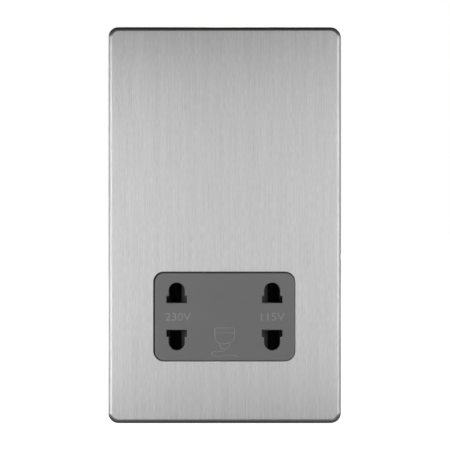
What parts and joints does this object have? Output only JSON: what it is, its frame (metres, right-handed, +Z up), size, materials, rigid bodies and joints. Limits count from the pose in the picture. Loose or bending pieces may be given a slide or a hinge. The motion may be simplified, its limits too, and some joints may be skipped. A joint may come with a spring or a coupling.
{
  "type": "shaver socket",
  "caption": "Upright wall shaver supply socket: brushed steel plate, grey two-outlet insert with a sliding interlock, transformer housing and screw terminals behind.",
  "frame": {"origin": "middle of the cover plate on the wall plane, at the gasket's rear face", "axes": "+X to the right seen from the front, +Y into the wall, +Z up"},
  "size_m": [0.087, 0.0454, 0.148],
  "materials": {
    "plate_steel": "vertical brushed satin",
    "black_moulding": "matt black",
    "grey_moulding": "fine textured matt",
    "gasket_foam": "closed-cell foam",
    "spring_steel": "drawn wire",
    "contact_brass": "stamped",
    "switch_moulding": "matt",
    "core_steel": "varnished sheet edges",
    "bobbin_moulding": "matt",
    "tinned_pins": "tinned",
    "copper_wire": "enamelled wire",
    "yellow_tape": "film tape",
    "pad_rubber": "soft",
    "cutout_case": "smooth",
    "white_moulding": "matt",
    "zinc_screws": "zinc plated",
    "earth_braid": "tinned strip",
    "brown_lead": "insulated",
    "blue_lead": "insulated",
    "white_lead": "insulated"
  },
  "bodies": {
    "socket": {"cover_plate": "plate_steel", "mounting_frame": "black_moulding", "rear_housing": "black_moulding", "contact_carrier": "black_moulding", "contact_cover": "black_moulding", "socket_insert": "grey_moulding", "wall_gasket": "gasket_foam", "centring_spring_left": "spring_steel", "centring_spring_right": "spring_steel", "common_contact": "contact_brass", "contact_230": "contact_brass", "contact_115": "contact_brass", "switch_terminals": "contact_brass", "terminal_live": "contact_brass", "terminal_neutral": "contact_brass", "terminal_earth": "contact_brass", "switch_case": "switch_moulding", "e_laminations": "core_steel", "i_laminations": "core_steel", "bobbin": "bobbin_moulding", "bobbin_pins": "tinned_pins", "primary_winding": "copper_wire", "secondary_winding": "copper_wire", "primary_tape": "yellow_tape", "secondary_tape": "yellow_tape", "core_pads": "pad_rubber", "thermal_cutout": "cutout_case", "terminal_block": "white_moulding", "terminal_screws": "zinc_screws", "housing_screws": "zinc_screws", "earth_strap": "earth_braid", "live_lead": "brown_lead", "switched_lead": "brown_lead", "neutral_lead": "blue_lead", "output_lead_230": "white_lead", "output_lead_115": "white_lead", "output_lead_common": "white_lead"},
    "slider": {"interlock_slider": "black_moulding"},
    "lever": {"switch_lever": "switch_moulding"}
  },
  "joints": [
    {"name": "interlock_slide", "type": "slide", "parent": "socket", "child": "slider", "axis": [1, 0, 0], "range_m": [-0.0024, 0.0024], "stiffness_N_per_m": 200, "deforming": ["centring_spring_right", "centring_spring_left"]},
    {"name": "switch_lever_turn", "type": "hinge", "parent": "socket", "child": "lever", "pos_m": [0, 0.0094, -0.03425], "axis": [0, 0, 1], "range_deg": [-20, 20]}
  ],
  "couplings": [
    {"joint": "switch_lever_turn", "follows": "interlock_slide", "rad_per_m": 143.1}
  ]
}
